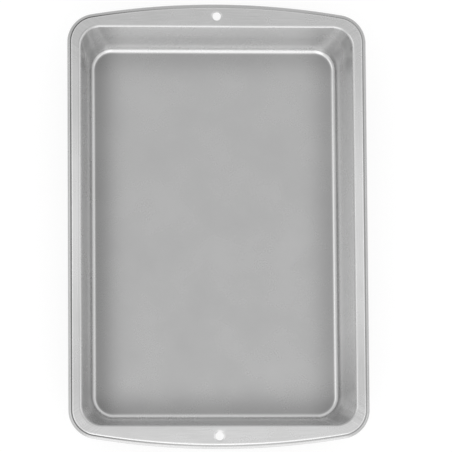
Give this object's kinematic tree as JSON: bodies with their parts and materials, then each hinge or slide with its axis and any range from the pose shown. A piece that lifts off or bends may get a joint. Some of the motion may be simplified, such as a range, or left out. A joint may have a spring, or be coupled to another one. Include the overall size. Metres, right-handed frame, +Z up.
{
  "type": "rectangular cake pan",
  "caption": "Deep rectangular baking pan of drawn sheet steel, with leaning walls, a flat flange with gently curved ends, a wired rolled edge and hang holes.",
  "frame": {"origin": "underside of the floor, at the middle of the pan", "axes": "+Y along the pan's length, towards the end that is uppermost in the picture; +X across its width; +Z up, out of its open top"},
  "size_m": [0.2514, 0.375, 0.0513],
  "materials": {
    "coated_steel": "satin",
    "wire_steel": "drawn"
  },
  "bodies": {
    "root": {"pan_body": "coated_steel", "rim_wire": "wire_steel"}
  },
  "joints": []
}
